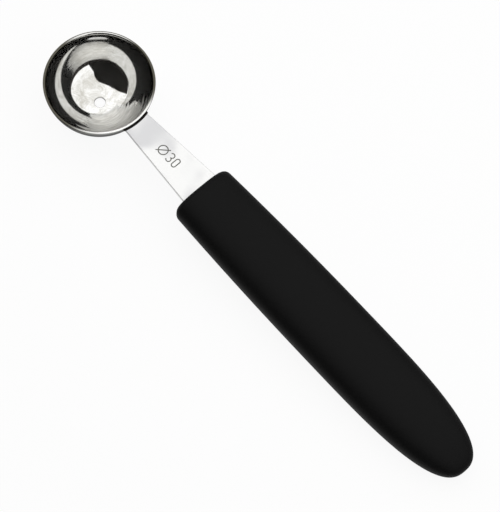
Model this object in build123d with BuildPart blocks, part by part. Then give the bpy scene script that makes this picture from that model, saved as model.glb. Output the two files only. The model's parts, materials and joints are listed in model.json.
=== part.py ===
from build123d import *
import math
import os

# A melon baller lying on a surface, its bowl open upwards.
# +X runs from the bowl to the handle's end, +Z is up, and Z = 0 is the surface.
# The origin is the bottom centre of the whole tool.
# Lengths along the tool are measured from the centre of the bowl's mouth.

# Bowl: a cup pressed to a ball, its mouth a little below the ball's centre
ball_diameter = 30.0
bowl_wall = 0.85
mouth_drop = 1.2
drain_diameter = 3.2
lip_round = 0.12
lip_inner_round = 0.6

# Weld seam: a bead in the groove between the bowl's wall and the shank's end
groove_width = 0.65
weld_depth = 0.75
seam_rise = 0.1
seam_overhang = 0.35

# Shank: a flat strip just under the level of the mouth, widening to the handle
shank_thickness = 1.2
shank_sink = 0.5
shank_root_width = 7.9
shank_heel_width = 12.2
shank_edge_round = 0.15
heel_inset = 3.0

# Tang: the shank's narrower end inside the handle, with holes that the handle fills
tang_length = 66.0
tang_width = 8.6
tang_corner = 2.4
tang_hole_diameter = 4.6
tang_hole_inset = 16.0
tang_hole_pitch = 34.0

# Size mark cut into the shank: a diameter sign and the ball's size
mark_depth = 0.08
mark_stroke = 0.32
mark_reach = 27.1
mark_ring_diameter = 2.8
mark_slash_length = 4.4
mark_slash_tilt = 45
mark_gap = 3.0
digit_height = 3.2
digit_width = 1.6
digit_pitch = 2.25
digit_lobe_sweep = 245

# Handle: an oval grip round the tang, with a flat front and a round tail
handle_front = 42.3
handle_length = 107.5
handle_tail_length = 54.0
handle_front_width = 19.2
handle_width = 21.4
handle_front_thickness = 10.2
handle_thickness = 11.6
handle_sink = 3.0
handle_front_round = 2.0

# Sections of the handle: how many, and how the tail closes
front_sections = 8
tail_sections = 11
tail_last_turn = math.radians(88)
tail_length_power_share = 3.6
tail_width_power_share = 2.6

# A section's roundness: 2 is an ellipse, and more is nearer a rectangle
oval_power_share = 2.7
oval_points = 32

# Radii of the bowl
ball_inner = ball_diameter / 2
ball_outer = ball_inner + bowl_wall
drain_radius = drain_diameter / 2
rim_outer = math.sqrt(ball_outer**2 - mouth_drop**2)


def handle_sections():
    """Each section's reach, half width and half thickness, from front to tail."""
    sections = []
    waist = handle_length - handle_tail_length
    for step in range(front_sections):
        share = step / front_sections
        narrowing = (1 - share) ** 2
        width = handle_width - (handle_width - handle_front_width) * narrowing
        thickness = handle_thickness - (handle_thickness - handle_front_thickness) * narrowing
        sections.append((handle_front + share * waist, width / 2, thickness / 2))
    for step in range(tail_sections + 1):
        run = math.sin(tail_last_turn * step / tail_sections)
        reach = handle_front + waist + run * handle_tail_length
        share = (1 - run**tail_length_power_share) ** (1 / tail_width_power_share)
        sections.append((reach, share * handle_width / 2, share * handle_thickness / 2))
    return sections


def fall_to(reach, depth):
    """The fall in radians that brings an underside point down to the surface."""
    drop = mouth_drop + depth
    return math.asin(ball_outer / math.hypot(reach, drop)) - math.atan2(drop, reach)


# The tool rests on its bowl and the handle's underside, so its length falls towards
# the tail until the first section touches
fall = min(fall_to(reach, handle_sink + half) for reach, _, half in handle_sections())
along = Vector(math.cos(fall), 0, -math.sin(fall))
upward = Vector(math.sin(fall), 0, math.cos(fall))

# The mouth's centre, placed so that the tool's length is centred on the origin
tail_reach = handle_sections()[-1][0]
tail_x = tail_reach * math.cos(fall) - handle_sink * math.sin(fall)
mouth_x = (rim_outer * math.cos(fall) - tail_x) / 2
mouth_z = ball_outer - mouth_drop * math.cos(fall)

# The mouth seen from above, the tool seen from the side, and the shank's upper face
tool = Plane(origin=(mouth_x, 0, mouth_z), x_dir=along, z_dir=upward)
side = Plane(origin=tool.origin, x_dir=along, z_dir=(0, -1, 0))
strip = tool.offset(-shank_sink)
bowl_axis = Axis(tool.origin, upward)
tool_axis = Axis(tool.origin, along)


def on_ball(radius, angle):
    """A point on the ball's section at an angle below the ball's own level."""
    return (radius * math.cos(angle), mouth_drop - radius * math.sin(angle))


def ball_arc(radius, start, end):
    """An arc of the ball's section between two of those angles."""
    middle = (start + end) / 2
    return ThreePointArc(on_ball(radius, start), on_ball(radius, middle), on_ball(radius, end))


def angle_at(radius, depth):
    """The angle of a point of the ball at a depth below the mouth."""
    return math.asin((mouth_drop + depth) / radius)


# The shank's end touches the ball below the weld and stands off from it above
weld_bottom = shank_sink + weld_depth
weld_bottom_angle = angle_at(ball_outer, weld_bottom)
weld_bottom_point = on_ball(ball_outer, weld_bottom_angle)
shank_end_point = (rim_outer + groove_width, -shank_sink)
seam_top_angle = angle_at(ball_outer, shank_sink - seam_rise)
pole_angle = math.pi / 2

with BuildPart() as bowl:
    with BuildSketch(side) as bowl_profile:
        with BuildLine():
            inside_end = math.acos(drain_radius / ball_inner)
            outside_end = math.acos(drain_radius / ball_outer)
            inside = ball_arc(ball_inner, angle_at(ball_inner, 0), inside_end)
            outside = ball_arc(ball_outer, angle_at(ball_outer, 0), outside_end)
            Line(inside @ 0, outside @ 0)
            Line(inside @ 1, outside @ 1)
        make_face()
        # The inner lip has the large round, and the other three corners the small one
        fillet(bowl_profile.vertices().sort_by_distance(inside @ 0)[1:], lip_round)
        fillet(bowl_profile.vertices().sort_by_distance(inside @ 0)[:1], lip_inner_round)
    revolve(axis=bowl_axis)
bowl.part.label = "bowl"

with BuildPart() as shank:
    # The strip starts inside the ball, where the cut for the bowl takes it away
    with BuildSketch(strip):
        with BuildLine():
            start = (ball_inner / 2, shank_root_width / 2)
            root = (rim_outer, shank_root_width / 2)
            heel = (handle_front + heel_inset, shank_heel_width / 2)
            flank = Polyline((start[0], 0), start, root, heel, (heel[0], 0))
            mirror(flank, about=Plane.XZ)
        make_face()
    extrude(amount=-shank_thickness)
    flank_edges = shank.edges().group_by(SortBy.LENGTH)[-1]
    fillet(flank_edges, shank_edge_round)
    with BuildSketch(strip) as tang:
        with Locations((handle_front, 0)):
            Rectangle(tang_length, tang_width, align=(Align.MIN, Align.CENTER))
        fillet(tang.vertices().group_by(Axis.X)[-1], tang_corner)
        first_hole = handle_front + tang_hole_inset
        with Locations((first_hole, 0), (first_hole + tang_hole_pitch, 0)):
            Circle(tang_hole_diameter / 2, mode=Mode.SUBTRACT)
    extrude(amount=-shank_thickness)
    # The end follows the ball, with a bevel above for the weld
    with BuildSketch(side):
        with BuildLine():
            Polyline(
                on_ball(ball_outer, pole_angle),
                (0, 0),
                (shank_end_point[0], 0),
                shank_end_point,
                weld_bottom_point,
            )
            ball_arc(ball_outer, weld_bottom_angle, pole_angle)
        make_face()
    revolve(axis=bowl_axis, mode=Mode.SUBTRACT)
    # The size mark reads from the bowl towards the handle
    with BuildSketch(strip):
        with Locations((mark_reach, 0)):
            Circle((mark_ring_diameter + mark_stroke) / 2)
            Circle((mark_ring_diameter - mark_stroke) / 2, mode=Mode.SUBTRACT)
            SlotOverall(mark_slash_length, mark_stroke, rotation=mark_slash_tilt)
        three_reach = mark_reach + mark_gap
        lobe = (digit_height - mark_stroke) / 4
        with BuildLine():
            CenterArc((three_reach, lobe), lobe, -90, digit_lobe_sweep)
        trace(line_width=mark_stroke)
        with BuildLine():
            CenterArc((three_reach, -lobe), lobe, 90, -digit_lobe_sweep)
        trace(line_width=mark_stroke)
        with Locations((three_reach + digit_pitch, 0)):
            inner_height = digit_height - 2 * mark_stroke
            inner_width = digit_width - 2 * mark_stroke
            SlotOverall(digit_height, digit_width, rotation=90)
            SlotOverall(inner_height, inner_width, rotation=90, mode=Mode.SUBTRACT)
    extrude(amount=-mark_depth, mode=Mode.SUBTRACT)
shank.part.label = "shank"

with BuildPart() as weld_seam:
    with BuildSketch(side):
        with BuildLine():
            Polyline(on_ball(ball_outer, seam_top_angle), shank_end_point, weld_bottom_point)
            ball_arc(ball_outer, weld_bottom_angle, seam_top_angle)
        make_face()
    revolve(axis=bowl_axis)
    # Kept across the shank's end only, and a little past its corners
    with BuildSketch(tool):
        with Locations((rim_outer, 0)):
            Rectangle(rim_outer, shank_root_width + 2 * seam_overhang)
    extrude(amount=-2 * weld_bottom, mode=Mode.INTERSECT)
weld_seam.part.label = "weld_seam"


def oval(half_width, half_thickness):
    """Points round a section of the handle, a superellipse."""
    points = []
    for step in range(oval_points):
        angle = math.tau * step / oval_points
        across = abs(math.cos(angle)) ** (2 / oval_power_share)
        over = abs(math.sin(angle)) ** (2 / oval_power_share)
        x = math.copysign(half_width * across, math.cos(angle))
        y = math.copysign(half_thickness * over, math.sin(angle))
        points.append((x, y))
    return points


with BuildPart() as handle:
    for reach, half_width, half_thickness in handle_sections():
        middle = tool.from_local_coords(Vector(reach, 0, -handle_sink))
        with BuildSketch(Plane(origin=middle, x_dir=(0, 1, 0), z_dir=along)):
            with BuildLine():
                Spline(*oval(half_width, half_thickness), periodic=True)
            make_face()
    loft()
    front_face = handle.faces().sort_by(tool_axis)[0]
    fillet(front_face.edges(), handle_front_round)
    # The grip is moulded round the tang, so it fills the tang's holes
    add(shank.part, mode=Mode.SUBTRACT)
handle.part.label = "handle"

os.makedirs("parts", exist_ok=True)
export_step(bowl.part, "parts/bowl.step")
export_step(shank.part, "parts/shank.step")
export_step(weld_seam.part, "parts/weld_seam.step")
export_step(handle.part, "parts/handle.step")
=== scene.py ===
import json
import math

import bmesh
import bpy
from mathutils import Matrix, Vector


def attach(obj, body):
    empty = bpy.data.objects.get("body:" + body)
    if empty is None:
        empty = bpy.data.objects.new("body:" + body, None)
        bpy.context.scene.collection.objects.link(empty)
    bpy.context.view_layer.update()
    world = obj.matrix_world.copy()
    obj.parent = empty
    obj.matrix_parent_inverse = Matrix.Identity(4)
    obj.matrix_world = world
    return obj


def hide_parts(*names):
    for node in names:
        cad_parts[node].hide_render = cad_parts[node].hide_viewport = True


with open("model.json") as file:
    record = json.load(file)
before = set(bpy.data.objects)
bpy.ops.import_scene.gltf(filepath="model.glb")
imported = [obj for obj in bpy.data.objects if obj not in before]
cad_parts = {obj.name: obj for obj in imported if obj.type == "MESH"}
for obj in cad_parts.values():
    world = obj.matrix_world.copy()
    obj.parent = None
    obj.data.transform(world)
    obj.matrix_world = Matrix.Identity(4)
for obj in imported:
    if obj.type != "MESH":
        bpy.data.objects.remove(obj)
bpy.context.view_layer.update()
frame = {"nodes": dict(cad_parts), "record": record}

# A melon baller: a polished steel cup welded to a satin steel shank, in a moulded black handle.
# Sizes are in metres, and MM turns a size in millimetres into metres.
MM = 0.001

# Bowl: the sizes that its CAD solid has
ball_radius = 15.0 * MM
bowl_wall = 0.85 * MM
lip_round = 0.12 * MM
lip_inner_round = 0.6 * MM

# The wall is brushed round one place and has a painted highlight there, and the lip has a
# painted highlight round another. Both are in degrees round the bowl from the shank.
brushed_highlight_turn = -18
lip_highlight_turn = 138

# Degrees up the wall from its bottom: brushing and painted highlight start, smudges grow fainter
brushed_highlight_start = 13
brushed_highlight_full = 22
smudges_full = 25
smudges_fainter = 45

# Shank: how far its upper face lies below the mouth, and where its size mark is cut
shank_sink = 0.5 * MM
mark_depth = 0.08 * MM
mark_middle = 29.7 * MM
mark_half_length = 5.6 * MM
mark_half_width = 2.6 * MM
mark_floor_slack = 0.05 * MM

# Handle: an oval grip with a flat front and a round tail, as its CAD solid
handle_front = 42.3 * MM
handle_length = 107.5 * MM
handle_tail_length = 54.0 * MM
handle_front_width = 19.2 * MM
handle_width = 21.4 * MM
handle_front_thickness = 10.2 * MM
handle_thickness = 11.6 * MM
handle_sink = 3.0 * MM
handle_front_round = 2.0 * MM
handle_front_border = 0.15 * MM
oval_power = 2.7
tail_length_power = 3.6
tail_width_power = 2.6
tail_last_turn = math.radians(88)

# Patterns on the bowl. Pressing leaves swells and buffing a fine unevenness. Buffing lines
# 0.05 mm apart are too fine for the picture, so they are drawn 0.5 mm apart. The brushed part
# ends in streaks, and washing leaves smudges.
swell_size = 5 * MM
swell_depth = 0.009 * MM
peel_size = 0.9 * MM
peel_depth = 0.003 * MM
line_pitch = 0.5 * MM
line_depth = 0.02 * MM
streak_pitch = 1 * MM
smudge_size = 4 * MM

# Patterns on the shank. Grinding lines 0.03 mm apart are too fine for the picture, so they are
# drawn 0.3 mm apart.
cloud_size = 9 * MM
grain_length = 9 * MM
grain_pitch = 0.3 * MM
grain_depth = 0.004 * MM

# Patterns on the weld and the handle: scale, and the mould's grain. The grain, 0.1 mm across,
# is too fine for the picture, so it is drawn 0.45 mm across.
scale_size = 0.6 * MM
scale_depth = 0.05 * MM
mould_grain_size = 0.45 * MM
mould_grain_depth = 0.012 * MM

# The photograph's camera, in degrees round and above the tool
view_azimuth = 48.05
view_elevation = 66.85
view_distance = 834.3 * MM
view_aim = Vector((-3.96, 0.19, 0.0)) * MM
photo_size = (500, 512)
focal_pixels = 3000

# Light: an even white tent, with a dark curtain round its foot and a black screen on the
# camera's side
tent_strength = 1.53
curtain_distance = 900 * MM
curtain_elevation = 27
screen_distance = 700 * MM

# Floor: just under the tool, and mostly lit by itself, so that it is white
floor_reach = 1500 * MM
floor_gap = 0.02 * MM
floor_glow_share = 0.92

# The tool's own axes and the middle of its mouth, from the places that the record states
mounts = {mount["name"]: mount for mount in frame["record"]["mounts"]}
drain_place = Vector(mounts["drain_hole"]["pos_m"])
rim_place = Vector(mounts["rim_face"]["pos_m"])
upward = Vector(mounts["rim_face"]["axis"]).normalized()
across = Vector((0, 1, 0))
along = across.cross(upward)
drain_radius = mounts["drain_hole"]["dims"]["r_mm"] * MM
ball_centre = drain_place + upward * (ball_radius + bowl_wall / 2)
mouth_drop = (ball_centre - rim_place).dot(upward)
mouth_centre = ball_centre - upward * mouth_drop
tool_turn = Matrix((along, across, upward)).transposed()
tool_place = Matrix.Translation(mouth_centre) @ tool_turn.to_4x4()


# Meshes

def finish_piece(bm, name, material, place):
    """Puts a mesh that was made round the origin in its place, as an object."""
    bmesh.ops.remove_doubles(bm, verts=bm.verts, dist=0.001 * MM)
    bmesh.ops.recalc_face_normals(bm, faces=bm.faces)
    bmesh.ops.transform(bm, matrix=place, verts=bm.verts)
    mesh = bpy.data.meshes.new(name)
    bm.to_mesh(mesh)
    bm.free()
    mesh.shade_smooth()
    mesh.materials.append(material)
    piece = bpy.data.objects.new(name, mesh)
    bpy.context.scene.collection.objects.link(piece)
    return piece


def only(elements, kind):
    """The vertices, edges or faces among the elements that an operator returns."""
    return [element for element in elements if isinstance(element, kind)]


def make_bowl(material):
    """A cup turned from its section: lip, inside, drain edge and outside."""
    bm = bmesh.new()
    ball_level = Vector((0, 0, mouth_drop))
    outer_radius = ball_radius + bowl_wall
    outside_start = math.asin(mouth_drop / outer_radius)
    inside_end = math.acos(drain_radius / ball_radius)
    outside_end = math.acos(drain_radius / outer_radius)
    # The lip's inner round touches the mouth's plane and the ball
    round_reach = ball_radius + lip_inner_round
    round_fall = math.asin((mouth_drop + lip_inner_round) / round_reach)
    round_centre = Vector((round_reach * math.cos(round_fall), 0, -lip_inner_round))
    top = bmesh.ops.create_vert(bm, co=round_centre + Vector((0, 0, lip_inner_round)))["vert"]
    lip = bmesh.ops.spin(
        bm,
        geom=top,
        cent=round_centre,
        axis=(0, 1, 0),
        steps=12,
        angle=round_fall - math.pi / 2,
    )
    # Down the inside to the drain hole
    inside = bmesh.ops.spin(
        bm,
        geom=only(lip["geom_last"], bmesh.types.BMVert),
        cent=ball_level,
        axis=(0, 1, 0),
        steps=56,
        angle=inside_end - round_fall,
    )
    drain_inside = only(inside["geom_last"], bmesh.types.BMVert)
    # Through the wall, and back up the outside
    drain_outside = bmesh.ops.extrude_vert_indiv(bm, verts=drain_inside)["verts"]
    drop = outer_radius * math.sin(outside_end) - ball_radius * math.sin(inside_end)
    bmesh.ops.translate(bm, verts=drain_outside, vec=(0, 0, -drop))
    outside = bmesh.ops.spin(
        bm,
        geom=drain_outside,
        cent=ball_level,
        axis=(0, 1, 0),
        steps=56,
        angle=outside_start - outside_end,
    )
    rim = only(outside["geom_last"], bmesh.types.BMVert)
    bmesh.ops.contextual_create(bm, geom=rim + top)
    bmesh.ops.bevel(
        bm,
        geom=rim + drain_inside + drain_outside,
        offset=lip_round,
        offset_type="OFFSET",
        segments=5,
        profile=0.5,
        affect="VERTICES",
        material=-1,
    )
    bmesh.ops.spin(
        bm,
        geom=bm.verts[:] + bm.edges[:],
        cent=(0, 0, 0),
        axis=(0, 0, 1),
        steps=256,
        angle=math.tau,
        use_merge=True,
    )
    return finish_piece(bm, "polished_bowl", material, tool_place)


def oval_ring(bm, segments):
    """A ring of radius 1 pushed out to the handle's rounded oval, and lying across the tool."""
    ring = bmesh.ops.create_circle(bm, cap_ends=True, segments=segments, radius=1)["verts"]
    for vert in ring:
        reach = abs(vert.co.x) ** oval_power + abs(vert.co.y) ** oval_power
        vert.co /= reach ** (1 / oval_power)
    upright = Matrix.Rotation(math.pi / 2, 3, "Y")
    bmesh.ops.rotate(bm, verts=ring, cent=(0, 0, 0), matrix=upright)
    return ring


def handle_sections():
    """Each section's reach, half width and half thickness, from front to tail."""
    front_steps = 20
    tail_steps = 56
    waist = handle_length - handle_tail_length
    sections = []
    for step in range(front_steps):
        share = step / front_steps
        narrowing = (1 - share) ** 2
        width = handle_width - (handle_width - handle_front_width) * narrowing
        thickness = handle_thickness - (handle_thickness - handle_front_thickness) * narrowing
        sections.append((handle_front + share * waist, width / 2, thickness / 2))
    for step in range(tail_steps + 1):
        run = math.sin(tail_last_turn * step / tail_steps)
        share = (1 - run**tail_length_power) ** (1 / tail_width_power)
        reach = handle_front + waist + run * handle_tail_length
        sections.append((reach, share * handle_width / 2, share * handle_thickness / 2))
    return sections


def make_handle(material):
    """A grip drawn out from its front, one oval section after another."""
    bm = bmesh.new()
    ring = oval_ring(bm, segments=128)
    sections = handle_sections()
    reach, half_width, half_thickness = sections[0]
    bmesh.ops.scale(bm, verts=ring, vec=(1, half_width, half_thickness))
    bmesh.ops.translate(bm, verts=ring, vec=(reach, 0, -handle_sink))
    front_edges = bm.edges[:]
    edges = front_edges
    for next_reach, next_width, next_thickness in sections[1:]:
        drawn = bmesh.ops.extrude_edge_only(bm, edges=edges)["geom"]
        ring = only(drawn, bmesh.types.BMVert)
        edges = [edge for edge in only(drawn, bmesh.types.BMEdge) if len(edge.link_faces) == 1]
        stretch = (1, next_width / half_width, next_thickness / half_thickness)
        middle = Matrix.Translation((-reach, 0, handle_sink))
        bmesh.ops.scale(bm, verts=ring, vec=stretch, space=middle)
        bmesh.ops.translate(bm, verts=ring, vec=(next_reach - reach, 0, 0))
        reach, half_width, half_thickness = next_reach, next_width, next_thickness
    # The tail closes on its last point
    tip = bmesh.ops.extrude_edge_only(bm, edges=edges)["geom"]
    tip = only(tip, bmesh.types.BMVert)
    bmesh.ops.pointmerge(bm, verts=tip, merge_co=(reach, 0, -handle_sink))
    bmesh.ops.bevel(
        bm,
        geom=front_edges,
        offset=handle_front_round,
        offset_type="OFFSET",
        segments=8,
        profile=0.5,
        affect="EDGES",
        material=-1,
    )
    # A narrow border keeps the front's flat middle flat in the light
    front = max(bm.faces, key=lambda face: len(face.verts))
    bmesh.ops.inset_region(bm, faces=[front], thickness=handle_front_border)
    return finish_piece(bm, "moulded_handle", material, tool_place)


# Materials

def linear(code):
    """An sRGB hex colour as linear red, green, blue and alpha."""
    shares = [int(code[start:start + 2], 16) / 255 for start in (1, 3, 5)]
    colour = [s / 12.92 if s <= 0.04045 else ((s + 0.055) / 1.055) ** 2.4 for s in shares]
    return (*colour, 1.0)


def add(tree, kind, settings=None, links=None):
    """A node with its settings and inputs set, and its inputs linked from other nodes' outputs.
    An input goes by its name, or by its number where several share a name."""
    node = tree.nodes.new(kind)
    for name, value in (settings or {}).items():
        if isinstance(name, int) or name in node.inputs:
            node.inputs[name].default_value = value
        else:
            setattr(node, name, value)
    for name, output in (links or {}).items():
        tree.links.new(output, node.inputs[name])
    return node


def new_material(name):
    """An empty material and its node tree."""
    material = bpy.data.materials.new(name)
    material.use_nodes = True
    material.node_tree.nodes.clear()
    return material, material.node_tree


def on_tool(tree):
    """The surface's place on the tool's own axes, measured from the middle of the mouth."""
    place = add(tree, "ShaderNodeTexCoord")
    return add(
        tree,
        "ShaderNodeMapping",
        {"vector_type": "TEXTURE", "Location": mouth_centre, "Rotation": tool_turn.to_euler()},
        {"Vector": place.outputs["Object"]},
    ).outputs["Vector"]


def measure_wall(tree):
    """Where a point of the bowl's wall lies, as outputs of nodes."""
    place = on_tool(tree)
    height = add(tree, "ShaderNodeSeparateXYZ", None, {"Vector": place}).outputs["Z"]
    flat = add(tree, "ShaderNodeVectorMath", {"operation": "MULTIPLY", 1: (1, 1, 0)}, {0: place})
    radius = add(tree, "ShaderNodeVectorMath", {"operation": "LENGTH"}, {0: flat.outputs[0]})
    spoke = add(tree, "ShaderNodeVectorMath", {"operation": "NORMALIZE"}, {0: flat.outputs[0]})
    depth = add(tree, "ShaderNodeMath", {"operation": "SUBTRACT", 0: mouth_drop}, {1: height})
    # The angle up the wall: 0 at its bottom, and nearly a quarter turn at the lip
    climb = add(
        tree,
        "ShaderNodeMath",
        {"operation": "ARCTAN2"},
        {0: radius.outputs["Value"], 1: depth.outputs[0]},
    )
    ball_reach = add(
        tree,
        "ShaderNodeVectorMath",
        {"operation": "DISTANCE", 1: (0, 0, mouth_drop)},
        {0: place},
    )
    # 1 on the inside of the wall, and 0 on its outside
    inside = add(
        tree,
        "ShaderNodeMath",
        {"operation": "LESS_THAN", 1: ball_radius + bowl_wall / 2},
        {0: ball_reach.outputs["Value"]},
    )
    return {
        "place": place,
        "height": height,
        "spoke": spoke.outputs[0],
        "climb": climb.outputs[0],
        "ball_reach": ball_reach.outputs["Value"],
        "inside": inside.outputs[0],
    }


def draw_lines(tree, wall):
    """Buffing lines round the bowl, and the vector that they are drawn on."""
    line_place = add(
        tree,
        "ShaderNodeMath",
        {"operation": "MULTIPLY", 1: ball_radius / line_pitch},
        {0: wall["climb"]},
    )
    line_axis = add(tree, "ShaderNodeCombineXYZ", None, {"Z": line_place.outputs[0]})
    # 2.2 lets a line run on for about a fourteenth of the way round
    line_vector = add(
        tree,
        "ShaderNodeVectorMath",
        {"operation": "MULTIPLY_ADD", 1: (2.2, 2.2, 2.2)},
        {0: wall["spoke"], 2: line_axis.outputs[0]},
    )
    lines = add(
        tree,
        "ShaderNodeTexNoise",
        {"Scale": 1.0, "Detail": 4.0, "Roughness": 0.65},
        {"Vector": line_vector.outputs[0]},
    )
    return lines.outputs["Fac"], line_vector.outputs[0]


def find_brushed_highlight(tree, wall, line_vector):
    """How far a place lies in the brushed sector, and its brushing and painted highlight."""
    # The sector reaches 42 degrees round the wall to either side of its middle
    turn = math.radians(brushed_highlight_turn)
    side = add(
        tree,
        "ShaderNodeVectorMath",
        {"operation": "DOT_PRODUCT", 1: (math.cos(turn), math.sin(turn), 0)},
        {0: wall["spoke"]},
    )
    # Its ends are streaks, twice as long as the lines
    streak_place = add(
        tree,
        "ShaderNodeVectorMath",
        {"operation": "MULTIPLY", 1: (0.5, 0.5, line_pitch / streak_pitch)},
        {0: line_vector},
    )
    streak = add(
        tree,
        "ShaderNodeTexNoise",
        {"Scale": 1.0, "Detail": 2.0, "Roughness": 0.45},
        {"Vector": streak_place.outputs[0]},
    )
    ragged = add(
        tree,
        "ShaderNodeMath",
        {"operation": "MULTIPLY_ADD", 1: 0.8, 2: -0.4},
        {0: streak.outputs["Fac"]},
    )
    ragged_side = add(
        tree,
        "ShaderNodeMath",
        {"operation": "ADD"},
        {0: side.outputs["Value"], 1: ragged.outputs[0]},
    )
    beside = add(
        tree,
        "ShaderNodeMapRange",
        {"interpolation_type": "SMOOTHSTEP", "From Min": 0.5, "From Max": 0.98},
        {"Value": ragged_side.outputs[0]},
    )
    # The bottom of the bowl and the outside stay a mirror
    high = add(
        tree,
        "ShaderNodeMapRange",
        {
            "interpolation_type": "SMOOTHSTEP",
            "From Min": math.radians(brushed_highlight_start),
            "From Max": math.radians(brushed_highlight_full),
        },
        {"Value": wall["climb"]},
    )
    high_inside = add(
        tree,
        "ShaderNodeMath",
        {"operation": "MULTIPLY"},
        {0: high.outputs[0], 1: wall["inside"]},
    )
    # 1 where the wall is brushed and carries its painted highlight
    brushed_and_highlit = add(
        tree,
        "ShaderNodeMath",
        {"operation": "MULTIPLY"},
        {0: beside.outputs[0], 1: high_inside.outputs[0]},
    )
    return beside.outputs[0], brushed_and_highlit.outputs[0]


def smudged_mirror(tree, wall):
    """The mirror's colour, with smudges: most in the bottom of the bowl, and least outside."""
    smudges = add(
        tree,
        "ShaderNodeTexNoise",
        {"Scale": 1 / smudge_size, "Detail": 7.0, "Roughness": 0.74, "Distortion": 0.6},
        {"Vector": wall["place"]},
    )
    wall_limit = add(
        tree,
        "ShaderNodeMapRange",
        {
            "From Min": math.radians(smudges_full),
            "From Max": math.radians(smudges_fainter),
            "To Min": 1.0,
            "To Max": 0.5,
        },
        {"Value": wall["climb"]},
    )
    smudge_limit = add(
        tree,
        "ShaderNodeMapRange",
        {"To Min": 0.15},
        {"Value": wall["inside"], "To Max": wall_limit.outputs[0]},
    )
    smudge_share = add(
        tree,
        "ShaderNodeMapRange",
        {"From Min": 0.4, "From Max": 0.64},
        {"Value": smudges.outputs["Fac"], "To Max": smudge_limit.outputs[0]},
    )
    return add(
        tree,
        "ShaderNodeMix",
        {"data_type": "RGBA", 6: linear("#DBDBD9"), 7: linear("#AFADA6")},
        {0: smudge_share.outputs[0]},
    ).outputs[2]


def find_dark_lip_reflection(tree, wall, beside):
    """How much painted dark reflection the lip gets: dark olive grey, except where it is brushed
    or carries its painted highlight, and its outer third is dark on the highlit side too."""
    turn = math.radians(lip_highlight_turn)
    lip_highlight_side = add(
        tree,
        "ShaderNodeVectorMath",
        {"operation": "DOT_PRODUCT", 1: (math.cos(turn), math.sin(turn), 0)},
        {0: wall["spoke"]},
    )
    # Painted highlight within 14 degrees of that place, painted dark reflection from 42 degrees
    # on
    dark_reflection_side = add(
        tree,
        "ShaderNodeMapRange",
        {
            "interpolation_type": "SMOOTHSTEP",
            "From Min": 0.97,
            "From Max": 0.74,
            "To Min": 0.1,
        },
        {"Value": lip_highlight_side.outputs["Value"]},
    )
    outer_third = add(
        tree,
        "ShaderNodeMath",
        {"operation": "GREATER_THAN", 1: ball_radius + 2 / 3 * bowl_wall},
        {0: wall["ball_reach"]},
    )
    dark_reflection_place = add(
        tree,
        "ShaderNodeMath",
        {"operation": "MAXIMUM"},
        {0: dark_reflection_side.outputs[0], 1: outer_third.outputs[0]},
    )
    unbrushed = add(tree, "ShaderNodeMath", {"operation": "SUBTRACT", 0: 1.0}, {1: beside})
    dark_reflection_there = add(
        tree,
        "ShaderNodeMath",
        {"operation": "MULTIPLY"},
        {0: dark_reflection_place.outputs[0], 1: unbrushed.outputs[0]},
    )
    at_lip = add(
        tree,
        "ShaderNodeMapRange",
        {"From Min": -lip_inner_round, "From Max": -0.8 * lip_inner_round},
        {"Value": wall["height"]},
    )
    return add(
        tree,
        "ShaderNodeMath",
        {"operation": "MULTIPLY"},
        {0: at_lip.outputs[0], 1: dark_reflection_there.outputs[0]},
    ).outputs[0]


def uneven_wall(tree, wall, lines, brushed_and_highlit):
    """The wall's normal, with swells, fine unevenness and lines that brushing cut deeper."""
    swell = add(
        tree,
        "ShaderNodeTexNoise",
        {"Scale": 1 / swell_size, "Detail": 1.0, "Roughness": 0.4},
        {"Vector": wall["place"]},
    )
    swell_bump = add(
        tree,
        "ShaderNodeBump",
        {"Strength": 1.0, "Distance": swell_depth},
        {"Height": swell.outputs["Fac"]},
    )
    peel = add(
        tree,
        "ShaderNodeTexNoise",
        {"Scale": 1 / peel_size, "Detail": 3.0, "Roughness": 0.6},
        {"Vector": wall["place"]},
    )
    peel_bump = add(
        tree,
        "ShaderNodeBump",
        {"Strength": 1.0, "Distance": peel_depth},
        {"Height": peel.outputs["Fac"], "Normal": swell_bump.outputs["Normal"]},
    )
    line_strength = add(
        tree,
        "ShaderNodeMapRange",
        {"To Min": 0.04, "To Max": 1.0},
        {"Value": brushed_and_highlit},
    )
    return add(
        tree,
        "ShaderNodeBump",
        {"Distance": line_depth},
        {
            "Strength": line_strength.outputs[0],
            "Height": lines,
            "Normal": peel_bump.outputs["Normal"],
        },
    ).outputs["Normal"]


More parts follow.
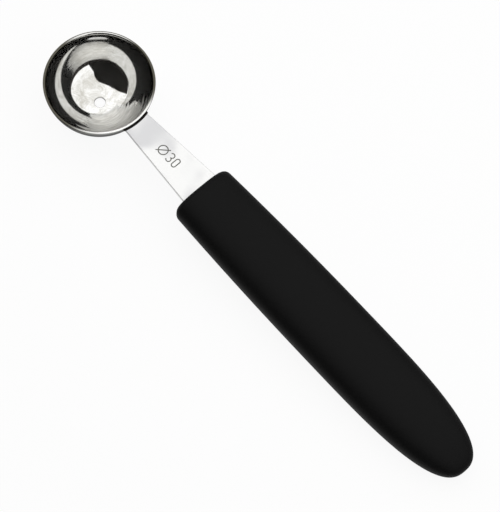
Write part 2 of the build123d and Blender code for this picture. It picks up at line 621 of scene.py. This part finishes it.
def polished_stainless():
    """Stainless steel, pressed and buffed: a mirror with fine rings from the buffing wheel.
    The wall beside the weld is brushed, and its soft light grey there is a painted highlight.
    The lip's dark olive grey is painted dark reflection, with a painted highlight in one place."""
    material, tree = new_material("polished_stainless_steel")
    wall = measure_wall(tree)
    lines, line_vector = draw_lines(tree, wall)
    beside, brushed_and_highlit = find_brushed_highlight(tree, wall, line_vector)
    line_share = add(
        tree,
        "ShaderNodeMapRange",
        {"From Min": 0.38, "From Max": 0.6},
        {"Value": lines},
    )
    # Painted highlight: the brushed sector's light grey, with its lines
    brushed_highlight_tone = add(
        tree,
        "ShaderNodeMix",
        {"data_type": "RGBA", 6: linear("#DCDAD4"), 7: linear("#FAF9F5")},
        {0: line_share.outputs[0]},
    )
    bright = add(
        tree,
        "ShaderNodeMix",
        {"data_type": "RGBA"},
        {0: brushed_and_highlit, 6: smudged_mirror(tree, wall), 7: brushed_highlight_tone.outputs[2]},
    )
    # The lip's dark olive grey is painted dark reflection
    tone = add(
        tree,
        "ShaderNodeMix",
        {"data_type": "RGBA", 7: linear("#4E4C44")},
        {0: find_dark_lip_reflection(tree, wall, beside), 6: bright.outputs[2]},
    )
    # Even light brushing takes the mirror away
    dullness = add(
        tree,
        "ShaderNodeMapRange",
        {"From Max": 0.4, "To Min": 0.05, "To Max": 0.5},
        {"Value": brushed_and_highlit},
    )
    streaks = add(
        tree,
        "ShaderNodeMath",
        {"operation": "MULTIPLY_ADD", 1: 0.12, 2: -0.05},
        {0: lines},
    )
    roughness = add(
        tree,
        "ShaderNodeMath",
        {"operation": "ADD", "use_clamp": True},
        {0: dullness.outputs[0], 1: streaks.outputs[0]},
    )
    # The dark tint keeps the steel from turning lighter where it is seen at a slant
    shader = add(
        tree,
        "ShaderNodeBsdfPrincipled",
        {"Metallic": 0.97, "Specular Tint": (0.1, 0.1, 0.1, 1)},
        {
            "Base Color": tone.outputs[2],
            "Roughness": roughness.outputs[0],
            "Normal": uneven_wall(tree, wall, lines, brushed_and_highlit),
        },
    )
    add(tree, "ShaderNodeOutputMaterial", None, {"Surface": shader.outputs["BSDF"]})
    return material


def find_mark(tree, axes):
    """1 on the size mark's floor, which lies below the strip's face, and 0 elsewhere."""
    # On each axis: the middle of the stretch that the floor lies in, and half that stretch
    stretches = {
        "X": (mark_middle, mark_half_length),
        "Y": (0.0, mark_half_width),
        "Z": (-shank_sink - mark_depth, mark_floor_slack),
    }
    marked = None
    for axis, (middle, half) in stretches.items():
        there = add(
            tree,
            "ShaderNodeMath",
            {"operation": "COMPARE", 1: middle, 2: half},
            {0: axes[axis]},
        ).outputs[0]
        if marked is None:
            marked = there
        else:
            both = {0: marked, 1: there}
            marked = add(tree, "ShaderNodeMath", {"operation": "MULTIPLY"}, both).outputs[0]
    return marked


def satin_stainless():
    """Stainless strip, rolled and satin ground along its length: bright, with soft grey clouds
    and fine lengthwise lines. The size mark is etched, so its floor is dark and dull."""
    material, tree = new_material("satin_stainless_steel")
    place = on_tool(tree)
    axes = add(tree, "ShaderNodeSeparateXYZ", None, {"Vector": place}).outputs
    clouds = add(
        tree,
        "ShaderNodeTexNoise",
        {"Scale": 1 / cloud_size, "Detail": 1.0, "Roughness": 0.4},
        {"Vector": place},
    )
    # Painted shade and light: the strip is greyer by the bowl and lighter towards the handle
    painted_light_towards_handle = add(
        tree,
        "ShaderNodeMath",
        {"operation": "MULTIPLY_ADD", 1: 0.34 / mark_middle},
        {0: axes["X"], 2: clouds.outputs["Fac"]},
    )
    cloud_and_painted_light_share = add(
        tree,
        "ShaderNodeMapRange",
        {"interpolation_type": "SMOOTHSTEP", "From Min": 0.62, "From Max": 0.96},
        {"Value": painted_light_towards_handle.outputs[0]},
    )
    colour = add(
        tree,
        "ShaderNodeMix",
        {"data_type": "RGBA", 6: linear("#BBBBBC"), 7: linear("#D4D4D3")},
        {0: cloud_and_painted_light_share.outputs[0]},
    )
    marked = find_mark(tree, axes)
    etched = add(
        tree,
        "ShaderNodeMix",
        {"data_type": "RGBA", 7: linear("#797974")},
        {0: marked, 6: colour.outputs[2]},
    )
    stretched = add(
        tree,
        "ShaderNodeVectorMath",
        {"operation": "MULTIPLY", 1: (1 / grain_length, 1 / grain_pitch, 1 / grain_pitch)},
        {0: place},
    )
    grain = add(
        tree,
        "ShaderNodeTexNoise",
        {"Scale": 1.0, "Detail": 3.0, "Roughness": 0.6},
        {"Vector": stretched.outputs[0]},
    )
    dullness = add(
        tree,
        "ShaderNodeMapRange",
        {"To Min": 0.28, "To Max": 0.6},
        {"Value": marked},
    )
    roughness = add(
        tree,
        "ShaderNodeMath",
        {"operation": "MULTIPLY_ADD", 1: 0.12},
        {0: grain.outputs["Fac"], 2: dullness.outputs[0]},
    )
    bump = add(
        tree,
        "ShaderNodeBump",
        {"Strength": 1.0, "Distance": grain_depth},
        {"Height": grain.outputs["Fac"]},
    )
    shader = add(
        tree,
        "ShaderNodeBsdfPrincipled",
        {"Metallic": 1.0},
        {
            "Base Color": etched.outputs[2],
            "Roughness": roughness.outputs[0],
            "Normal": bump.outputs["Normal"],
        },
    )
    add(tree, "ShaderNodeOutputMaterial", None, {"Surface": shader.outputs["BSDF"]})
    return material


def dark_weld():
    """Steel weld bead: near black and scaly."""
    material, tree = new_material("dark_weld_steel")
    place = add(tree, "ShaderNodeTexCoord")
    scale = add(
        tree,
        "ShaderNodeTexNoise",
        {"Scale": 1 / scale_size, "Detail": 3.0},
        {"Vector": place.outputs["Object"]},
    )
    bump = add(
        tree,
        "ShaderNodeBump",
        {"Strength": 1.0, "Distance": scale_depth},
        {"Height": scale.outputs["Fac"]},
    )
    shader = add(
        tree,
        "ShaderNodeBsdfPrincipled",
        {
            "Base Color": linear("#15120F"),
            "Metallic": 0.3,
            "Roughness": 0.6,
            "Specular IOR Level": 0.1,
        },
        {"Normal": bump.outputs["Normal"]},
    )
    add(tree, "ShaderNodeOutputMaterial", None, {"Surface": shader.outputs["BSDF"]})
    return material


def moulded_polypropylene():
    """Black polypropylene, injection moulded in a finely eroded mould: an even matte."""
    material, tree = new_material("moulded_black_polypropylene")
    place = add(tree, "ShaderNodeTexCoord")
    grain = add(
        tree,
        "ShaderNodeTexNoise",
        {"Scale": 1 / mould_grain_size, "Detail": 2.0},
        {"Vector": place.outputs["Object"]},
    )
    bump = add(
        tree,
        "ShaderNodeBump",
        {"Strength": 1.0, "Distance": mould_grain_depth},
        {"Height": grain.outputs["Fac"]},
    )
    shader = add(
        tree,
        "ShaderNodeBsdfPrincipled",
        {
            "Base Color": linear("#0D0D0D"),
            "IOR": 1.49,
            "Roughness": 0.6,
            "Specular IOR Level": 0.1,
        },
        {"Normal": bump.outputs["Normal"]},
    )
    add(tree, "ShaderNodeOutputMaterial", None, {"Surface": shader.outputs["BSDF"]})
    return material


def black_cloth(name, code):
    """Black velvet: it gives back very little light."""
    material, tree = new_material(name)
    cloth = add(tree, "ShaderNodeBsdfDiffuse", {"Color": linear(code)})
    add(tree, "ShaderNodeOutputMaterial", None, {"Surface": cloth.outputs[0]})
    return material


def white_floor():
    """White paper: it stays white and takes the tool's soft shadow."""
    material, tree = new_material("white_paper_floor")
    paper = add(tree, "ShaderNodeBsdfDiffuse", {"Color": linear("#F4F4F4")})
    glow = add(tree, "ShaderNodeEmission", {"Strength": 1.0})
    rays = add(tree, "ShaderNodeLightPath").outputs
    mirrored = add(
        tree,
        "ShaderNodeMath",
        {"operation": "MAXIMUM"},
        {0: rays["Is Glossy Ray"], 1: rays["Is Transmission Ray"]},
    )
    seen = add(
        tree,
        "ShaderNodeMath",
        {"operation": "MAXIMUM"},
        {0: rays["Is Camera Ray"], 1: mirrored.outputs[0]},
    )
    share = add(
        tree,
        "ShaderNodeMath",
        {"operation": "MULTIPLY", 1: floor_glow_share},
        {0: seen.outputs[0]},
    )
    shade = add(
        tree,
        "ShaderNodeMixShader",
        None,
        {0: share.outputs[0], 1: paper.outputs[0], 2: glow.outputs[0]},
    )
    add(tree, "ShaderNodeOutputMaterial", None, {"Surface": shade.outputs[0]})
    return material


# The tool

bowl = make_bowl(polished_stainless())
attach(bowl, "root")
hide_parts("bowl")

handle = make_handle(moulded_polypropylene())
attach(handle, "root")
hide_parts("handle")

shank = frame["nodes"]["shank"]
shank.material_slots[0].material = satin_stainless()

weld_seam = frame["nodes"]["weld_seam"]
weld_seam.material_slots[0].material = dark_weld()


# Studio

def view_direction(azimuth, elevation):
    """The direction to the camera from the tool, for degrees round and above it."""
    turn = math.radians(azimuth)
    rise = math.radians(elevation)
    level = Vector((math.sin(turn), -math.cos(turn), 0)) * math.cos(rise)
    return level + Vector((0, 0, math.sin(rise)))


back = view_direction(view_azimuth, view_elevation)
rightward = Vector((0, 0, 1)).cross(back).normalized()
above = back.cross(rightward)


def make_floor():
    """A wide sheet of paper under the tool."""
    bm = bmesh.new()
    bmesh.ops.create_grid(bm, x_segments=1, y_segments=1, size=floor_reach)
    floor = finish_piece(bm, "floor", white_floor(), Matrix.Translation((0, 0, -floor_gap)))


def make_curtain():
    """A dark curtain round the foot of the tent, which gives the steel its dark outlines."""
    height = curtain_distance * math.tan(math.radians(curtain_elevation))
    bm = bmesh.new()
    bmesh.ops.create_circle(bm, segments=96, radius=curtain_distance)
    drawn = bmesh.ops.extrude_edge_only(bm, edges=bm.edges[:])["geom"]
    top = only(drawn, bmesh.types.BMVert)
    bmesh.ops.translate(bm, verts=top, vec=(0, 0, height))
    cloth = black_cloth("curtain_cloth", "#2E2A28")
    curtain = finish_piece(bm, "dark_curtain", cloth, Matrix.Identity(4))
    curtain.visible_camera = False


def toward(to_right, to_top):
    """The direction that lies some degrees right of and above the direction to the camera."""
    turn = math.hypot(to_right, to_top)
    out = math.tan(math.radians(turn)) / turn
    return back + (rightward * to_right + above * to_top) * out


def make_screen():
    """A black screen on the camera's side, which only the tool's reflections show. Its corners
    are degrees to the right of and above the direction to the camera."""
    outline = [
        (-60, 29), (-40, 21), (-20, 10), (-10, 5), (2, 1), (9, -5), (13, -12), (15, -22),
        (22, -32), (27, -40), (20, -44), (-10, -45), (-40, -44), (-60, -20),
    ]
    bm = bmesh.new()
    corners = []
    for to_right, to_top in outline:
        corner = toward(to_right, to_top) * screen_distance
        corners.append(bmesh.ops.create_vert(bm, co=corner)["vert"][0])
    bmesh.ops.contextual_create(bm, geom=corners)
    cloth = black_cloth("screen_cloth", "#201E1C")
    screen = finish_piece(bm, "black_screen", cloth, Matrix.Translation(mouth_centre))
    screen.visible_camera = False


def light_tent():
    """An even white tent all round."""
    world = bpy.data.worlds.new("white_tent")
    world.use_nodes = True
    tree = world.node_tree
    tree.nodes.clear()
    white = {"Color": linear("#FFFFFF"), "Strength": tent_strength}
    light = add(tree, "ShaderNodeBackground", white)
    add(tree, "ShaderNodeOutputWorld", None, {"Surface": light.outputs[0]})
    bpy.context.scene.world = world


def place_camera():
    """The photograph's camera, with a long lens."""
    data = bpy.data.cameras.new("photo_camera")
    data.sensor_width = 36.0
    data.lens = data.sensor_width * focal_pixels / max(photo_size)
    data.clip_start = 0.05
    data.clip_end = 10.0
    camera = bpy.data.objects.new("photo_camera", data)
    camera_turn = Matrix((rightward, above, back)).transposed()
    camera_place = Matrix.Translation(view_aim + back * view_distance)
    camera.matrix_world = camera_place @ camera_turn.to_4x4()
    bpy.context.scene.collection.objects.link(camera)
    bpy.context.scene.camera = camera


make_floor()
make_curtain()
make_screen()
light_tent()
place_camera()
bpy.context.scene.view_settings.view_transform = "Standard"
# Each mirror image in the bowl is darker than the one before. The photograph shows the first
# two, and black where the light would have come by a third.
bpy.context.scene.cycles.glossy_bounces = 1
